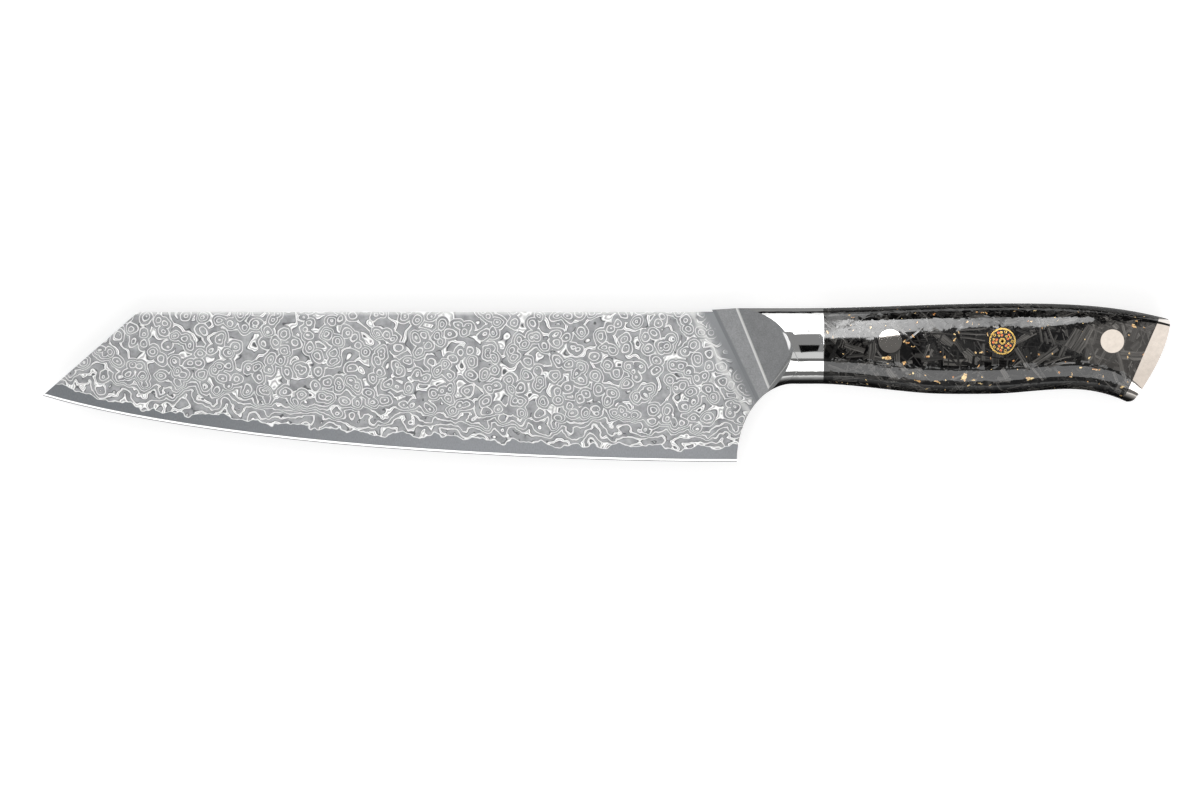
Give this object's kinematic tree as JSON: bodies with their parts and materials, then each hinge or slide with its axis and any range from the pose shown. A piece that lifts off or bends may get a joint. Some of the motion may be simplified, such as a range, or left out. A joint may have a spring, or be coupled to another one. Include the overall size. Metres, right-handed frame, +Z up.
{
  "type": "kiritsuke knife",
  "caption": "Kitchen knife with a slanted-tip layered blade, a satin and polished bolster, resin handle scales with carbon chips, rivets, a mosaic pin and a steel butt cap.",
  "frame": {"origin": "middle of the whole knife's box, on the surface that the knife lies on", "axes": "+X from the tip to the butt, +Y from the edge to the spine, +Z up through the thickness: the knife lies on its right side"},
  "size_m": [0.3404, 0.0479, 0.019],
  "materials": {
    "core_steel": "satin ground and etched core steel",
    "damascus_steel": "etched damascus cladding, light lines on mid grey",
    "bolster_steel": "bead-blasted ramp and facet, mirror-polished neck",
    "tang_steel": "ground and polished at the rim",
    "cap_steel": "mirror polished",
    "handle_resin": "clear resin with chopped carbon fibre and gold leaf, polished",
    "rivet_steel": "ground flush and polished",
    "mosaic_brass": "ground flush and polished",
    "mosaic_copper": "copper, ground flush and polished",
    "mosaic_filler": "black casting resin, ground flush"
  },
  "bodies": {
    "root": {"blade_core": "core_steel", "cladding_left": "damascus_steel", "cladding_right": "damascus_steel", "bolster": "bolster_steel", "tang": "tang_steel", "butt_cap": "cap_steel", "scale_left": "handle_resin", "scale_right": "handle_resin", "rivet_front_female": "rivet_steel", "rivet_front_male": "rivet_steel", "rivet_rear_female": "rivet_steel", "rivet_rear_male": "rivet_steel", "mosaic_tube": "mosaic_brass", "mosaic_center_tube": "mosaic_brass", "mosaic_rim_tubes": "mosaic_brass", "mosaic_copper_rods": "mosaic_copper", "mosaic_brass_rods": "mosaic_brass", "mosaic_resin": "mosaic_filler"}
  },
  "joints": []
}
